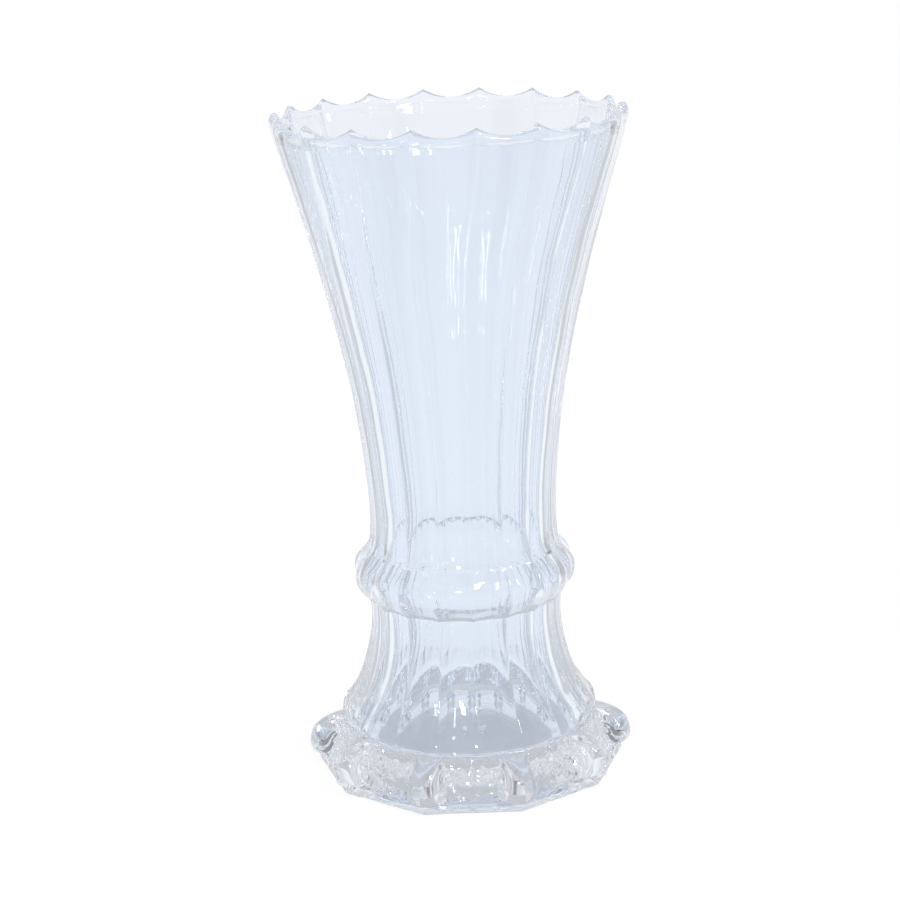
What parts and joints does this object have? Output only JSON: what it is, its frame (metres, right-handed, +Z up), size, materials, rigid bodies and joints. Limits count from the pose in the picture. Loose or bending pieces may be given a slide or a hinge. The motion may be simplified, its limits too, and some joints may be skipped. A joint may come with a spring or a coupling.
{
  "type": "fan vase",
  "caption": "Tall round vase of clear fluted glass, flared to a scalloped lip, with a bulged collar, a bell-shaped lower body and a petal foot.",
  "frame": {"origin": "middle of the foot's standing face, on the vase's axis", "axes": "+Z up along the vase's axis, towards the mouth; -Y is the front in the picture, where a hollow between two petals faces the viewer"},
  "size_m": [0.156, 0.1538, 0.3],
  "materials": {
    "clear_glass": "fire-polished, clear with a faint cool tint"
  },
  "bodies": {
    "root": {"petal_foot": "clear_glass", "vessel_floor": "clear_glass", "bell_stem": "clear_glass", "collar_ring": "clear_glass", "flared_bowl": "clear_glass", "rim_lip": "clear_glass"}
  },
  "joints": []
}
